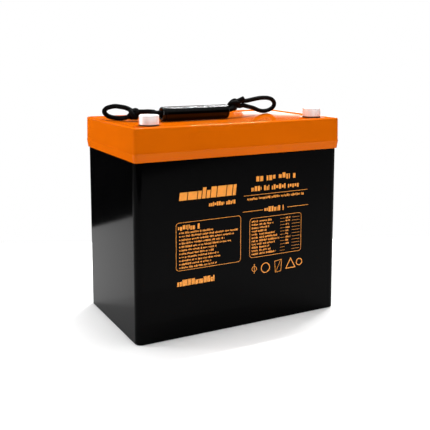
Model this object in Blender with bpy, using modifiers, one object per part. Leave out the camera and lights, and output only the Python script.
"""A 12.8 V, 50 Ah deep cycle lithium battery in the 229 x 138 x 208 mm container size.

Metres, +Z up. The origin is at the middle of the container's underside, +X runs along its length and
-Y is the side that carries the printed panel. The lid, the case, the pack of four cells with its
electronics, and the rope handle with its grip tube are separate objects.
"""

import math

import bmesh
import bpy
from mathutils import Matrix, Vector

GAP = 0.0003  # between pieces that touch
ARC_STEPS = 5  # facets in a rounded corner
ROUND = 28  # facets round a turned piece

# Container: half sizes at the widest level of the lid, and the levels that share them.
HALF_X = 0.1145
HALF_Y = 0.0690
CASE_INSET = 0.0016
CASE_DRAFT = 0.0005
CASE_CORNER = 0.0070
CASE_WALL = 0.0035
CASE_FLOOR = 0.0030
SPIGOT_STEP = 0.0017
BOTTOM_ROUND = 0.0012
LID_BOTTOM_Z = 0.1713
LID_SEAM_Z = 0.1795
LID_RIM_Z = 0.2030
LID_FLOOR_Z = 0.2020
LID_CEILING_Z = 0.1975
LID_SKIRT_TAPER = 0.0012
LID_DRAFT = 0.00065
LID_CORNER = 0.0045
LID_EDGE = 0.0014
LID_RIM_WIDTH = 0.0024
SPIGOT_TOP_Z = 0.1940
GASKET_INSET = 0.0004
GASKET_WIDTH = 0.0020
RECESS_DRAFT = 0.0004
RECESS_CORNER = 0.0018

# Terminals: threaded inserts that stand on round bosses near the front corners.
TERMINAL_X = 0.0915
TERMINAL_Y = -0.0502
TERMINAL_R = 0.00925
TERMINAL_TOP_Z = 0.2130
TERMINAL_SHANK_R = 0.0060
TERMINAL_END_Z = 0.1850
TERMINAL_BORE_R = 0.0034
TERMINAL_BORE_Z = 0.1960
BOSS_R = 0.0136
SEAL_THICK = 0.0007
SEAL_R = 0.0096
HOLE_CLEARANCE = 0.0004
WASHER_R = 0.0100
WASHER_THICK = 0.0015
LUG_THICK = 0.0017
LUG_BARREL_R = 0.0045
LUG_BARREL_LENGTH = 0.0140
NUT_ACROSS = 0.0190
NUT_HEIGHT = 0.0060

# Cell pack.
CELLS = 4
CELL = (0.1483, 0.0267, 0.1280)
CELL_POST_X = 0.0525
CELL_POST_R = 0.0070
CELL_POST_HEIGHT = 0.0025
TAB_X = CELL_POST_X + 0.0280
TAB_FLAT_LENGTH = 0.0360
TAB_UPRIGHT = (0.0020, 0.0140, 0.0120)
TAB_TOP_RISE = 0.0112  # above the middle of the busbars
SPACER_THICK = 0.0015
END_PLATE_THICK = 0.0030
BASE_PAD_THICK = 0.0050
STRAP_THICK = 0.0008
STRAP_HEIGHT = 0.0120
STRAP_LEVELS = {"lower": 0.036, "upper": 0.104}
FOAM_BLOCK = (0.0325, 0.1150, 0.1250)
BUSBAR_WIDTH = 0.0200
BUSBAR_THICK = 0.0015
COVER_THICK = 0.0015
COVER_HALF = (0.0735, 0.0580)
COVER_CORNER = 0.0030
COVER_CLEARANCE = 0.0031

# Battery management electronics, above the cells.
TRAY = (0.1760, 0.0680, 0.0015)
STANDOFF_R = 0.0035
STANDOFF_HEIGHT = 0.0050
BOARD = (0.1700, 0.0660, 0.0016)
THERMAL_PAD = (0.1100, 0.0300, 0.0030)
HEATSINK_BASE = (0.1300, 0.0620, 0.0025)
FIN_COUNT = 7
FIN_PITCH = 0.0060
FIN_THICK = 0.0015
FIN_HEIGHT = 0.0045
SCREW_X = 0.0610
SCREW_Y = 0.0275
SCREW_R = 0.0014
SCREW_HEAD_R = 0.0027
SCREW_HEAD_HEIGHT = 0.0022
CABLE_R = 0.0035
CABLE_RISE = 0.0100  # straight run at a joint
LUG_BARREL_SETBACK = 0.0015
PROBE_LENGTH = 0.0120
PROBE_X = 0.0250
CONNECTOR = (0.0090, 0.0180, 0.0070)
RADIO = (0.0120, 0.0180, 0.0030)
PAD_X = 0.0780  # the board's cable pads, right and left of the heatsink
PAD_Y = 0.0180
HARNESS_R = 0.0012
PROBE_R = 0.0020
LEAD_R = 0.0008

# Rope handle, lying loose on the lid.
ROPE_R = 0.0024
GRIP_R = 0.0073
GRIP_BORE_R = 0.0058
GRIP_LEFT_X = -0.0632
GRIP_RIGHT_X = 0.0110
GRIP_Y = -0.0130
GRIP_Z = LID_FLOOR_Z + GAP + GRIP_R
GRIP_CAP_THICK = 0.0028
GRIP_CAP_BORE_R = 0.0044
GRIP_SPIGOT = 0.0080
KNOT_LEFT = Vector((-0.0846, 0.0060, 0.2091))
KNOT_LEFT_HALF = (0.0066, 0.0060, 0.0066)
KNOT_RIGHT = Vector((0.0246, -0.0060, 0.2162))
KNOT_RIGHT_HALF = (0.0066, 0.0058, 0.0052)

# Routes are read from smooth curves through these points, chosen by hand.
ROPE_LEFT_STRAND = [
    (-0.0772, 0.0005, 0.2116),
    (-0.0735, -0.0045, 0.2120),
    (-0.0695, -0.0095, 0.2118),
    (-0.0630, -0.0127, 0.2109),
]
ROPE_RIGHT_STRAND = [
    (0.0090, -0.0130, 0.2111),
    (0.0165, -0.0124, 0.2118),
    (0.0190, -0.0114, 0.2126),
]
ROPE_LEFT_LOOP = [
    (-0.0900, 0.0085, 0.2147),
    (-0.0925, 0.0106, 0.2157),
    (-0.0961, 0.0135, 0.2164),
    (-0.0997, 0.0170, 0.2168),
    (-0.1034, 0.0200, 0.2161),
    (-0.1069, 0.0228, 0.2146),
    (-0.1088, 0.0248, 0.2115),
    (-0.1064, 0.0258, 0.2078),
    (-0.1025, 0.0250, 0.2056),
    (-0.0980, 0.0220, 0.2046),
    (-0.0935, 0.0170, 0.2046),
    (-0.0905, 0.0115, 0.2055),
]
ROPE_RIGHT_LOOP = [
    (0.0315, -0.0035, 0.2187),
    (0.0370, -0.0016, 0.2187),
    (0.0437, 0.0010, 0.2188),
    (0.0540, 0.0050, 0.2198),
    (0.0620, 0.0090, 0.2203),
    (0.0700, 0.0130, 0.2204),
    (0.0798, 0.0180, 0.2197),
    (0.0876, 0.0220, 0.2179),
    (0.0924, 0.0250, 0.2153),
    (0.0948, 0.0270, 0.2121),
    (0.0944, 0.0282, 0.2088),
    (0.0910, 0.0282, 0.2063),
    (0.0854, 0.0268, 0.2048),
    (0.0775, 0.0235, 0.2047),
    (0.0690, 0.0190, 0.2062),
    (0.0580, 0.0120, 0.2096),
    (0.0465, 0.0050, 0.2122),
    (0.0385, 0.0005, 0.2139),
    (0.0318, -0.0035, 0.2137),
]
ROPE_TAIL = [(0.0300, -0.0080, 0.2206), (0.0320, -0.0087, 0.2216), (0.0340, -0.0093, 0.2226)]

# Slot name: (linear colour, roughness, metallic).
MATERIALS = {
    "lid_orange": ((0.578, 0.107, 0.001), 0.18, 0.0),
    "case_black": ((0.006, 0.006, 0.007), 0.22, 0.0),
    "terminal_tin": ((0.82, 0.82, 0.80), 0.30, 1.0),
    "seal_rubber": ((0.012, 0.012, 0.012), 0.70, 0.0),
    "grip_black": ((0.008, 0.008, 0.008), 0.25, 0.0),
    "rope_black": ((0.010, 0.010, 0.010), 0.85, 0.0),
    "steel": ((0.56, 0.57, 0.58), 0.30, 1.0),
    "cell_shell": ((0.05, 0.12, 0.32), 0.35, 0.0),
    "copper": ((0.93, 0.72, 0.60), 0.28, 1.0),
    "board_green": ((0.01, 0.12, 0.04), 0.40, 0.0),
    "heatsink_metal": ((0.60, 0.61, 0.63), 0.40, 1.0),
    "insulator": ((0.70, 0.68, 0.58), 0.60, 0.0),
    "foam_grey": ((0.10, 0.10, 0.11), 0.90, 0.0),
    "cable_red": ((0.45, 0.015, 0.012), 0.50, 0.0),
    "cable_black": ((0.012, 0.012, 0.012), 0.50, 0.0),
    "module_plastic": ((0.75, 0.75, 0.72), 0.45, 0.0),
}


# ---------------------------------------------------------------- tools


def clear_scene():
    for obj in list(bpy.data.objects):
        bpy.data.objects.remove(obj, do_unlink=True)


def collection(name):
    made = bpy.data.collections.new(name)
    bpy.context.scene.collection.children.link(made)
    return made


def make_material(name):
    colour, roughness, metallic = MATERIALS[name]
    made = bpy.data.materials.new(name)
    made.use_nodes = True
    shader = made.node_tree.nodes["Principled BSDF"]
    shader.inputs["Base Color"].default_value = (*colour, 1.0)
    shader.inputs["Roughness"].default_value = roughness
    shader.inputs["Metallic"].default_value = metallic
    return made


def add(name, data, slot=None, location=(0, 0, 0), parent=None):
    """Links data as a part, or as a hidden cutter when it has no material slot."""
    obj = bpy.data.objects.new(name, data)
    obj.location = location
    if slot is None:
        CUTTERS.objects.link(obj)
        obj.hide_render = True
        obj.display_type = "WIRE"
    else:
        PARTS.objects.link(obj)
        data.materials.clear()
        data.materials.append(bpy.data.materials.get(slot) or make_material(slot))
    obj.parent = parent
    return obj


def mesh_from(name, bm, smooth_angle=None):
    bmesh.ops.recalc_face_normals(bm, faces=bm.faces)
    mesh = bpy.data.meshes.new(name)
    bm.to_mesh(mesh)
    bm.free()
    if smooth_angle:
        mesh.shade_smooth()
        mesh.set_sharp_from_angle(angle=math.radians(smooth_angle))
    return mesh


def box_mesh(name, size, centre=(0, 0, 0), corner=0.0):
    """A box, with its four upright edges rounded where corner is given."""
    bm = bmesh.new()
    bmesh.ops.create_cube(bm, size=1.0)
    bmesh.ops.scale(bm, vec=size, verts=bm.verts)
    if corner:
        upright = [e for e in bm.edges if abs(e.verts[0].co.z - e.verts[1].co.z) > size[2] / 2]
        bmesh.ops.bevel(bm, geom=upright, offset=corner, segments=3, profile=0.5, affect="EDGES")
    bmesh.ops.translate(bm, vec=centre, verts=bm.verts)
    return mesh_from(name, bm)


def cylinder_mesh(name, radius, depth, centre=(0, 0, 0), axis="Z", sides=ROUND):
    bm = bmesh.new()
    bmesh.ops.create_cone(
        bm, cap_ends=True, segments=sides, radius1=radius, radius2=radius, depth=depth
    )
    turn = {"X": Matrix.Rotation(math.pi / 2, 3, "Y"), "Y": Matrix.Rotation(math.pi / 2, 3, "X")}
    if axis in turn:
        bmesh.ops.rotate(bm, cent=(0, 0, 0), matrix=turn[axis], verts=bm.verts)
    bmesh.ops.translate(bm, vec=centre, verts=bm.verts)
    return mesh_from(name, bm, smooth_angle=40)


def rounded_ring(half_x, half_y, corner, z):
    """Points round a rectangle with rounded corners, at one level."""
    points = []
    for quarter in range(4):
        start = quarter * math.pi / 2
        sign_x = 1 if quarter in (0, 3) else -1
        sign_y = 1 if quarter in (0, 1) else -1
        centre = Vector((sign_x * (half_x - corner), sign_y * (half_y - corner), z))
        for step in range(ARC_STEPS + 1):
            angle = start + step / ARC_STEPS * math.pi / 2
            points.append(centre + corner * Vector((math.cos(angle), math.sin(angle), 0)))
    return points


def loft_mesh(name, levels, hoop=False):
    """A solid through rounded rectangles (half_x, half_y, corner, z); a hoop joins its ends."""
    bm = bmesh.new()
    rings = [[bm.verts.new(p) for p in rounded_ring(*level)] for level in levels]
    pairs = list(zip(rings, rings[1:]))
    if hoop:
        pairs.append((rings[-1], rings[0]))
    else:
        bm.faces.new(rings[0])
        bm.faces.new(rings[-1])
    for low, high in pairs:
        for i in range(len(low)):
            j = (i + 1) % len(low)
            bm.faces.new((low[i], low[j], high[j], high[i]))
    return mesh_from(name, bm, smooth_angle=40)


def turned(name, profile, slot, location, parent=None):
    """A turned piece: profile is (radius, height) points that end down its outer side."""
    mesh = bpy.data.meshes.new(name)
    edges = [(i, i + 1) for i in range(len(profile) - 1)]
    if profile[0][0] > 0:
        edges.append((len(profile) - 1, 0))
    mesh.from_pydata([(r, 0, z) for r, z in profile], edges, [])
    obj = add(name, mesh, slot, location, parent)
    screw = obj.modifiers.new("turn", "SCREW")
    screw.steps = screw.render_steps = ROUND
    screw.use_merge_vertices = True
    screw.merge_threshold = 0.00001
    return obj


def boolean(target, tool_mesh, operation="DIFFERENCE"):
    tool = add(f"{target.name}_{tool_mesh.name}", tool_mesh)
    modifier = target.modifiers.new(tool_mesh.name, "BOOLEAN")
    modifier.operation = operation
    modifier.object = tool
    return tool


def smooth_line(points, step):
    """Points about step apart along a Catmull-Rom curve through the given ones."""
    knots = [Vector(p) for p in points]
    padded = [2 * knots[0] - knots[1], *knots, 2 * knots[-1] - knots[-2]]
    line = []
    for a, b, c, d in zip(padded, padded[1:], padded[2:], padded[3:]):
        count = max(1, round((c - b).length / step))
        for i in range(count):
            t = i / count
            line.append(
                0.5
                * (
                    2 * b
                    + (c - a) * t
                    + (2 * a - 5 * b + 4 * c - d) * t**2
                    + (3 * b - a - 3 * c + d) * t**3
                )
            )
    return [*line, knots[-1]]


def cord(name, points, radius, slot, step=None, parent=None):
    """A round cord with capped ends along a smooth route."""
    line = smooth_line(points, step or 4 * radius)
    curve = bpy.data.curves.new(name, "CURVE")
    curve.dimensions = "3D"
    curve.bevel_depth = radius
    curve.bevel_resolution = 2
    curve.use_fill_caps = True
    spline = curve.splines.new("POLY")
    spline.points.add(len(line) - 1)
    for point, place in zip(spline.points, line):
        point.co = (*place, 1.0)
    return add(name, curve, slot, parent=parent)


# ---------------------------------------------------------------- container


def case_levels():
    half_x, half_y = HALF_X - CASE_INSET, HALF_Y - CASE_INSET
    low_x, low_y = half_x - CASE_DRAFT, half_y - CASE_DRAFT
    spigot_x, spigot_y = half_x - SPIGOT_STEP, half_y - SPIGOT_STEP
    step_z = LID_BOTTOM_Z - 0.0005
    inner_corner = CASE_CORNER - CASE_WALL
    return [
        (low_x - BOTTOM_ROUND, low_y - BOTTOM_ROUND, CASE_CORNER - BOTTOM_ROUND, 0.0),
        (low_x, low_y, CASE_CORNER, BOTTOM_ROUND),
        (half_x, half_y, CASE_CORNER, step_z),
        (spigot_x, spigot_y, CASE_CORNER - SPIGOT_STEP, step_z),
        (spigot_x, spigot_y, CASE_CORNER - SPIGOT_STEP, SPIGOT_TOP_Z),
        (half_x - CASE_WALL, half_y - CASE_WALL, inner_corner, SPIGOT_TOP_Z),
        (low_x - CASE_WALL, low_y - CASE_WALL, inner_corner, CASE_FLOOR),
    ]


def make_case():
    add("case", loft_mesh("case", case_levels()), "case_black")


def make_lid():
    foot_x, foot_y = HALF_X - LID_SKIRT_TAPER, HALF_Y - LID_SKIRT_TAPER
    top_x, top_y = HALF_X - LID_DRAFT, HALF_Y - LID_DRAFT
    inner_x = HALF_X - CASE_INSET - SPIGOT_STEP + GAP
    inner_y = HALF_Y - CASE_INSET - SPIGOT_STEP + GAP
    rim_x, rim_y = top_x - LID_EDGE, top_y - LID_EDGE
    floor_x, floor_y = rim_x - LID_RIM_WIDTH, rim_y - LID_RIM_WIDTH
    inner_corner = CASE_CORNER - SPIGOT_STEP
    chamfer = LID_EDGE * 0.3
    levels = [
        (inner_x, inner_y, inner_corner, LID_CEILING_Z),
        (inner_x, inner_y, inner_corner, LID_BOTTOM_Z),
        (foot_x, foot_y, LID_CORNER, LID_BOTTOM_Z),
        (HALF_X, HALF_Y, LID_CORNER, LID_SEAM_Z),
        (top_x, top_y, LID_CORNER - LID_DRAFT, LID_RIM_Z - LID_EDGE),
        (top_x - chamfer, top_y - chamfer, LID_CORNER - LID_DRAFT - chamfer, LID_RIM_Z - chamfer),
        (rim_x, rim_y, LID_CORNER - LID_DRAFT - LID_EDGE, LID_RIM_Z),
        (floor_x, floor_y, RECESS_CORNER, LID_RIM_Z),
        (floor_x - RECESS_DRAFT, floor_y - RECESS_DRAFT, RECESS_CORNER, LID_FLOOR_Z),
    ]
    lid = add("lid", loft_mesh("lid", levels), "lid_orange")
    for side, x in (("left", -TERMINAL_X), ("right", TERMINAL_X)):
        height = LID_RIM_Z - LID_FLOOR_Z + 0.002
        centre = (x, TERMINAL_Y, LID_RIM_Z - height / 2)
        boss = cylinder_mesh(f"boss_{side}", BOSS_R, height, centre)
        boolean(lid, boss, "UNION")
    for side, x in (("left", -TERMINAL_X), ("right", TERMINAL_X)):
        hole_r = TERMINAL_SHANK_R + HOLE_CLEARANCE
        hole = cylinder_mesh(f"hole_{side}", hole_r, 0.02, (x, TERMINAL_Y, LID_CEILING_Z))
        boolean(lid, hole)


def make_lid_gasket():
    low, high = SPIGOT_TOP_Z + GAP, LID_CEILING_Z - GAP
    outer_x = HALF_X - CASE_INSET - SPIGOT_STEP - GASKET_INSET
    outer_y = HALF_Y - CASE_INSET - SPIGOT_STEP - GASKET_INSET
    inner_x, inner_y = outer_x - GASKET_WIDTH, outer_y - GASKET_WIDTH
    outer_corner = CASE_CORNER - SPIGOT_STEP - GASKET_INSET
    inner_corner = outer_corner - GASKET_WIDTH
    levels = [
        (outer_x, outer_y, outer_corner, low),
        (outer_x, outer_y, outer_corner, high),
        (inner_x, inner_y, inner_corner, high),
        (inner_x, inner_y, inner_corner, low),
    ]
    add("lid_gasket", loft_mesh("lid_gasket", levels, hoop=True), "seal_rubber")


# ---------------------------------------------------------------- terminals


def make_terminal(name, x):
    """One threaded insert with its seal above the lid, and its washer, ring lug and nut below."""
    place = (x, TERMINAL_Y, 0.0)
    seal_low = LID_RIM_Z + GAP
    base = seal_low + SEAL_THICK + GAP
    turned(
        f"terminal_{name}",
        [
            (0.0, TERMINAL_BORE_Z),
            (TERMINAL_BORE_R, TERMINAL_BORE_Z),
            (TERMINAL_BORE_R, TERMINAL_TOP_Z - 0.0008),
            (TERMINAL_BORE_R + 0.0008, TERMINAL_TOP_Z),
            (TERMINAL_R - 0.0006, TERMINAL_TOP_Z),
            (TERMINAL_R, TERMINAL_TOP_Z - 0.0006),
            (TERMINAL_R, base),
            (TERMINAL_SHANK_R, base),
            (TERMINAL_SHANK_R, TERMINAL_END_Z + 0.0008),
            (TERMINAL_SHANK_R - 0.0008, TERMINAL_END_Z),
            (0.0, TERMINAL_END_Z),
        ],
        "terminal_tin",
        place,
    )
    shank_hole = TERMINAL_SHANK_R + GAP
    make_washer(f"terminal_seal_{name}", place, shank_hole, SEAL_R, seal_low, SEAL_THICK, "seal_rubber")
    washer_low = LID_CEILING_Z - GAP - WASHER_THICK
    make_washer(f"terminal_washer_{name}", place, shank_hole, WASHER_R, washer_low, WASHER_THICK, "steel")

    lug_mid = washer_low - GAP - LUG_THICK / 2
    barrel_start = TERMINAL_Y + WASHER_R + LUG_BARREL_SETBACK
    lug = add(
        f"cable_lug_{name}",
        cylinder_mesh("ring", WASHER_R, LUG_THICK, (x, TERMINAL_Y, lug_mid)),
        "copper",
    )
    tongue_size = (2 * LUG_BARREL_R, 0.0080, LUG_THICK * 0.9)
    tongue_place = (x, barrel_start - LUG_BARREL_SETBACK, lug_mid)
    boolean(lug, box_mesh("tongue", tongue_size, tongue_place), "UNION")
    barrel_place = (x, barrel_start + LUG_BARREL_LENGTH / 2, LUG_AXIS_Z)
    barrel = cylinder_mesh("barrel", LUG_BARREL_R, LUG_BARREL_LENGTH, barrel_place, "Y", 16)
    boolean(lug, barrel, "UNION")
    boolean(lug, cylinder_mesh("eye", shank_hole, 0.01, (x, TERMINAL_Y, lug_mid)))

    nut_top = lug_mid - LUG_THICK / 2 - GAP
    nut_place = (x, TERMINAL_Y, nut_top - NUT_HEIGHT / 2)
    corner_r = NUT_ACROSS / 2 / math.cos(math.pi / 6)
    nut = add(
        f"terminal_nut_{name}",
        cylinder_mesh("hexagon", corner_r, NUT_HEIGHT, nut_place, sides=6),
        "steel",
    )
    boolean(nut, cylinder_mesh("thread", shank_hole, 0.02, nut_place))


def make_washer(name, place, inner_r, outer_r, low, thick, slot):
    high = low + thick
    profile = [(inner_r, low), (inner_r, high), (outer_r, high), (outer_r, low)]
    turned(name, profile, slot, place)


# ---------------------------------------------------------------- cell pack

CELL_PITCH = CELL[1] + SPACER_THICK + 2 * GAP
CELL_LOW = CASE_FLOOR + GAP + BASE_PAD_THICK + GAP
CELL_HIGH = CELL_LOW + CELL[2]
PACK_HALF_Y = (CELLS - 1) / 2 * CELL_PITCH + CELL[1] / 2
BUSBAR_MID = CELL_HIGH + CELL_POST_HEIGHT + GAP + BUSBAR_THICK / 2
COVER_MID = BUSBAR_MID + BUSBAR_THICK / 2 + COVER_CLEARANCE + COVER_THICK / 2
TRAY_MID = COVER_MID + COVER_THICK / 2 + GAP + TRAY[2] / 2
BOARD_MID = TRAY_MID + TRAY[2] / 2 + STANDOFF_HEIGHT + GAP + BOARD[2] / 2
BOARD_TOP = BOARD_MID + BOARD[2] / 2
HEATSINK_LOW = BOARD_TOP + THERMAL_PAD[2] + 2 * GAP
HEATSINK_TOP = HEATSINK_LOW + HEATSINK_BASE[2]
LUG_AXIS_Z = LID_CEILING_Z - GAP - WASHER_THICK - GAP - LUG_BARREL_R + 0.0010


def cell_y(index):
    return (index - (CELLS - 1) / 2) * CELL_PITCH


def make_cells():
    for index in range(CELLS):
        y = cell_y(index)
        name = f"cell_{index + 1}"
        cell = add(
            name,
            box_mesh(name, CELL, (0, y, CELL_LOW + CELL[2] / 2), corner=0.0012),
            "cell_shell",
        )
        for side in (-1, 1):
            height = CELL_POST_HEIGHT + 0.002
            place = (side * CELL_POST_X, y, CELL_HIGH + CELL_POST_HEIGHT - height / 2)
            post = cylinder_mesh("post_left" if side < 0 else "post_right", CELL_POST_R, height, place)
            boolean(cell, post, "UNION")
        if index:
            spacer = (CELL[0] - 0.004, SPACER_THICK, CELL[2] - 0.003)
            middle = (0, y - CELL_PITCH / 2, CELL_LOW + spacer[2] / 2)
            add(f"cell_spacer_{index}", box_mesh("spacer", spacer, middle), "insulator")


def make_pack_frame():
    plate = (CELL[0], END_PLATE_THICK, CELL[2])
    for side, name in ((-1, "front"), (1, "rear")):
        y = side * (PACK_HALF_Y + GAP + END_PLATE_THICK / 2)
        mesh = box_mesh(name, plate, (0, y, CELL_LOW + CELL[2] / 2))
        add(f"end_plate_{name}", mesh, "insulator")
    inner_x = CELL[0] / 2 + GAP
    inner_y = PACK_HALF_Y + GAP + END_PLATE_THICK + GAP
    outer_x, outer_y = inner_x + STRAP_THICK, inner_y + STRAP_THICK
    for name, low in STRAP_LEVELS.items():
        high = low + STRAP_HEIGHT
        levels = [
            (outer_x, outer_y, 0.0010, low),
            (outer_x, outer_y, 0.0010, high),
            (inner_x, inner_y, 0.0002, high),
            (inner_x, inner_y, 0.0002, low),
        ]
        add(f"pack_strap_{name}", loft_mesh(name, levels, hoop=True), "steel")
    pad_x = HALF_X - CASE_INSET - CASE_WALL - CASE_DRAFT - 0.0010
    pad_y = HALF_Y - CASE_INSET - CASE_WALL - CASE_DRAFT - 0.0010
    pad_low = CASE_FLOOR + GAP
    levels = [(pad_x, pad_y, 0.004, pad_low), (pad_x, pad_y, 0.004, pad_low + BASE_PAD_THICK)]
    add("base_pad", loft_mesh("base_pad", levels), "foam_grey")
    for side, name in ((-1, "left"), (1, "right")):
        x = side * (outer_x + GAP + FOAM_BLOCK[0] / 2)
        mesh = box_mesh(name, FOAM_BLOCK, (x, 0, CELL_LOW + FOAM_BLOCK[2] / 2))
        add(f"foam_block_{name}", mesh, "foam_grey")


def make_busbars():
    """Three bars put the cells in series; the two ends of the string get tabs on the left."""
    length = CELL_PITCH + BUSBAR_WIDTH * 0.8
    for index in range(CELLS - 1):
        x = CELL_POST_X if index % 2 == 0 else -CELL_POST_X
        y = (cell_y(index) + cell_y(index + 1)) / 2
        name = f"busbar_{index + 1}"
        size = (BUSBAR_WIDTH, length, BUSBAR_THICK)
        bar = add(name, box_mesh(name, size, (x, y, BUSBAR_MID), corner=0.002), "copper")
        for end in (-1, 1):
            place = (x, y + end * CELL_PITCH / 2, BUSBAR_MID)
            boolean(bar, cylinder_mesh(f"weld_{end}", 0.003, 0.01, place, sides=16))
    for name, side in (("negative", -1), ("positive", 1)):
        y = side * cell_y(CELLS - 1)
        flat = (TAB_FLAT_LENGTH, BUSBAR_WIDTH * 0.8, BUSBAR_THICK)
        centre = (-TAB_X + TAB_FLAT_LENGTH / 2, y, BUSBAR_MID)
        tab = add(f"pack_tab_{name}", box_mesh("flat", flat, centre), "copper")
        upright_z = BUSBAR_MID + TAB_TOP_RISE - TAB_UPRIGHT[2] / 2
        centre = (-TAB_X + TAB_UPRIGHT[0] / 2, y, upright_z)
        boolean(tab, box_mesh("upright", TAB_UPRIGHT, centre), "UNION")



def make_cell_cover():
    levels = [(*COVER_HALF, COVER_CORNER, COVER_MID + side * COVER_THICK / 2) for side in (-1, 1)]
    add("cell_cover", loft_mesh("cell_cover", levels), "insulator")


# ---------------------------------------------------------------- electronics


def screw_places():
    return [(x, y) for x in (-SCREW_X, SCREW_X) for y in (-SCREW_Y, SCREW_Y)]


def make_electronics():
    tray = add("bms_tray", box_mesh("tray", TRAY, (0, 0, TRAY_MID)), "module_plastic")
    board = add("bms_board", box_mesh("board", BOARD, (0, 0, BOARD_MID)), "board_green")
    base_mid = HEATSINK_LOW + HEATSINK_BASE[2] / 2
    sink = add("bms_heatsink", box_mesh("base", HEATSINK_BASE, (0, 0, base_mid)), "heatsink_metal")
    for index in range(FIN_COUNT):
        y = (index - (FIN_COUNT - 1) / 2) * FIN_PITCH
        size = (HEATSINK_BASE[0] - 0.002, FIN_THICK, FIN_HEIGHT + 0.001)
        fin = box_mesh(f"fin_{index}", size, (0, y, HEATSINK_TOP + FIN_HEIGHT / 2 - 0.0005))
        boolean(sink, fin, "UNION")
    hole_r = SCREW_R + HOLE_CLEARANCE
    for index, (x, y) in enumerate(screw_places()):
        standoff_top = BOARD_MID - BOARD[2] / 2 - GAP
        low = TRAY_MID
        centre = (x, y, (standoff_top + low) / 2)
        post = cylinder_mesh(f"standoff_{index}", STANDOFF_R, standoff_top - low, centre, sides=16)
        boolean(tray, post, "UNION")
        pilot = cylinder_mesh(f"pilot_{index}", hole_r, 0.02, (x, y, TRAY_MID + 0.0105), sides=12)
        boolean(tray, pilot)
        for target, z in ((board, BOARD_MID), (sink, base_mid)):
            boolean(target, cylinder_mesh(f"way_{index}", hole_r, 0.006, (x, y, z), sides=12))
        make_screw(f"bms_screw_{index + 1}", x, y)
    pad_place = (0, 0, BOARD_TOP + GAP + THERMAL_PAD[2] / 2)
    add("thermal_pad", box_mesh("thermal_pad", THERMAL_PAD, pad_place), "foam_grey")
    plug_place = (PAD_X, PAD_Y, BOARD_TOP + GAP + CONNECTOR[2] / 2)
    plug = box_mesh("balance_connector", CONNECTOR, plug_place, corner=0.0008)
    add("balance_connector", plug, "module_plastic")
    radio_place = (-PAD_X, PAD_Y, BOARD_TOP + GAP + RADIO[2] / 2)
    add("bluetooth_module", box_mesh("bluetooth_module", RADIO, radio_place), "board_green")


def make_screw(name, x, y):
    seat = HEATSINK_TOP + GAP
    end = TRAY_MID + 0.0015
    profile = [
        (0.0, seat + SCREW_HEAD_HEIGHT),
        (SCREW_HEAD_R - 0.0006, seat + SCREW_HEAD_HEIGHT),
        (SCREW_HEAD_R, seat + SCREW_HEAD_HEIGHT - 0.0006),
        (SCREW_HEAD_R, seat),
        (SCREW_R, seat),
        (SCREW_R, end),
        (0.0, end),
    ]
    screw = turned(name, profile, "steel", (x, y, 0.0))
    screw.modifiers["turn"].steps = screw.modifiers["turn"].render_steps = 12


def make_wiring():
    lug_end = TERMINAL_Y + WASHER_R + LUG_BARREL_SETBACK + LUG_BARREL_LENGTH + GAP
    tab_top = BUSBAR_MID + TAB_TOP_RISE + GAP
    tab_x = -TAB_X + TAB_UPRIGHT[0] / 2
    pack_y = cell_y(CELLS - 1)
    pad_top = BOARD_TOP + GAP
    positive = [
        (tab_x, pack_y, tab_top),
        (tab_x, pack_y, tab_top + CABLE_RISE),
        (-0.0830, 0.0360, 0.1780),
        (-0.0885, 0.0160, 0.1880),
        (-TERMINAL_X, -0.0060, LUG_AXIS_Z),
        (-TERMINAL_X, lug_end, LUG_AXIS_Z),
    ]
    cord("cable_positive", positive, CABLE_R, "cable_red")
    negative = [
        (PAD_X, -PAD_Y, pad_top),
        (PAD_X, -PAD_Y, pad_top + CABLE_RISE),
        (0.0810, -0.0060, 0.1740),
        (0.0865, 0.0070, 0.1850),
        (TERMINAL_X, 0.0020, LUG_AXIS_Z),
        (TERMINAL_X, -0.0080, LUG_AXIS_Z),
        (TERMINAL_X, lug_end, LUG_AXIS_Z),
    ]
    cord("cable_negative", negative, CABLE_R, "cable_black")
    pack_negative = [
        (tab_x, -pack_y, tab_top),
        (tab_x, -pack_y, tab_top + CABLE_RISE),
        (-0.0788, -0.0330, 0.1760),
        (-PAD_X, -0.0210, 0.1700),
        (-PAD_X, -PAD_Y, pad_top + 0.006),
        (-PAD_X, -PAD_Y, pad_top),
    ]
    cord("cable_pack_negative", pack_negative, CABLE_R, "cable_black")
    edge_x = TRAY[0] / 2 + 0.0040
    plug_x = PAD_X + CONNECTOR[0] / 2 + GAP
    plug_z = BOARD_TOP + GAP + CONNECTOR[2] / 2
    level = BUSBAR_MID
    harness = [
        (plug_x, PAD_Y, plug_z),
        (edge_x - 0.0005, PAD_Y, plug_z),
        (edge_x + 0.0020, PAD_Y, plug_z - 0.0060),
        (edge_x + 0.0010, PAD_Y, level + 0.0030),
        (edge_x - 0.0030, PAD_Y, level),
        (CELL_POST_X + BUSBAR_WIDTH / 2 + GAP, PAD_Y, level),
    ]
    cord("balance_harness", harness, HARNESS_R, "cable_black", step=0.003)
    lead_y = PAD_Y - 0.0060
    lead = [
        (plug_x, lead_y, plug_z),
        (edge_x, lead_y, plug_z),
        (edge_x + 0.0020, lead_y - 0.0020, plug_z - 0.0060),
        (edge_x + 0.0010, lead_y - 0.0040, level + 0.0030),
        (edge_x - 0.0060, 0.0040, level),
        (0.0450, 0.0, level),
        (PROBE_X, 0.0, level),
    ]
    cord("probe_lead", lead, LEAD_R, "cable_black", step=0.004)
    bead_x = PROBE_X - GAP - PROBE_LENGTH / 2
    bead = cylinder_mesh("bead", PROBE_R, PROBE_LENGTH, (bead_x, 0, level), "X", 12)
    add("temperature_probe", bead, "steel")


# ---------------------------------------------------------------- rope handle


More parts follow.
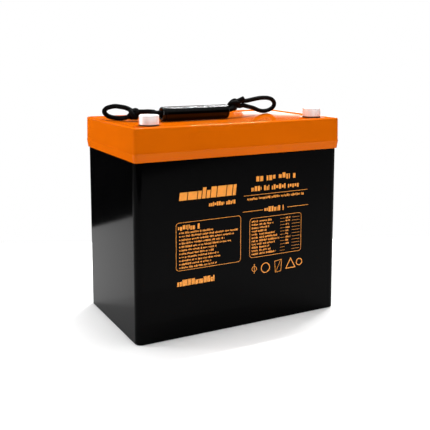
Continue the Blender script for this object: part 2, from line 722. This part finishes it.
def make_grip():
    """The grip tube and its two pressed-in end caps, which turn together round the rope."""
    axis = bpy.data.objects.new("grip_axis", None)
    PARTS.objects.link(axis)
    axis.location = ((GRIP_LEFT_X + GRIP_RIGHT_X) / 2, GRIP_Y, GRIP_Z)
    axis.rotation_euler = (0, math.pi / 2, 0)
    half = (GRIP_RIGHT_X - GRIP_LEFT_X) / 2
    inner_half = half - GRIP_CAP_THICK - GAP
    profile = [
        (GRIP_BORE_R, -inner_half),
        (GRIP_BORE_R, inner_half),
        (GRIP_R, inner_half),
        (GRIP_R, -inner_half),
    ]
    turned("grip_tube", profile, "grip_black", (0, 0, 0), parent=axis)
    spigot_r = GRIP_BORE_R - 0.00025
    for name, side in (("left", -1), ("right", 1)):
        outline = [
            (GRIP_CAP_BORE_R, inner_half - GRIP_SPIGOT),
            (GRIP_CAP_BORE_R, half),
            (GRIP_R - 0.0013, half),
            (GRIP_R - 0.0003, half - 0.0009),
            (GRIP_R - 0.0001, half - GRIP_CAP_THICK),
            (spigot_r, half - GRIP_CAP_THICK),
            (spigot_r, inner_half - GRIP_SPIGOT),
        ]
        cap = turned(f"grip_cap_{name}", outline, "grip_black", (0, 0, 0), parent=axis)
        if side < 0:
            cap.rotation_euler = (math.pi, 0, 0)


def make_knot(name, centre, half):
    bm = bmesh.new()
    bmesh.ops.create_uvsphere(bm, u_segments=16, v_segments=10, radius=1.0)
    bmesh.ops.scale(bm, vec=half, verts=bm.verts)
    add(name, mesh_from(name, bm, smooth_angle=60), "rope_black", location=centre)


def make_rope():
    strand = ROPE_LEFT_STRAND + ROPE_RIGHT_STRAND
    cord("rope_strand", strand, ROPE_R, "rope_black")
    cord("rope_left_loop", ROPE_LEFT_LOOP, ROPE_R, "rope_black")
    cord("rope_right_loop", ROPE_RIGHT_LOOP, ROPE_R, "rope_black")
    cord("rope_tail", ROPE_TAIL, ROPE_R, "rope_black", step=0.002)
    make_knot("rope_left_knot", KNOT_LEFT, KNOT_LEFT_HALF)
    make_knot("rope_right_knot", KNOT_RIGHT, KNOT_RIGHT_HALF)


clear_scene()
PARTS = collection("deep_cycle_battery")
CUTTERS = collection("cutters")
make_case()
make_lid()
make_lid_gasket()
make_terminal("positive", -TERMINAL_X)
make_terminal("negative", TERMINAL_X)
make_cells()
make_pack_frame()
make_busbars()
make_cell_cover()
make_electronics()
make_wiring()
make_grip()
make_rope()
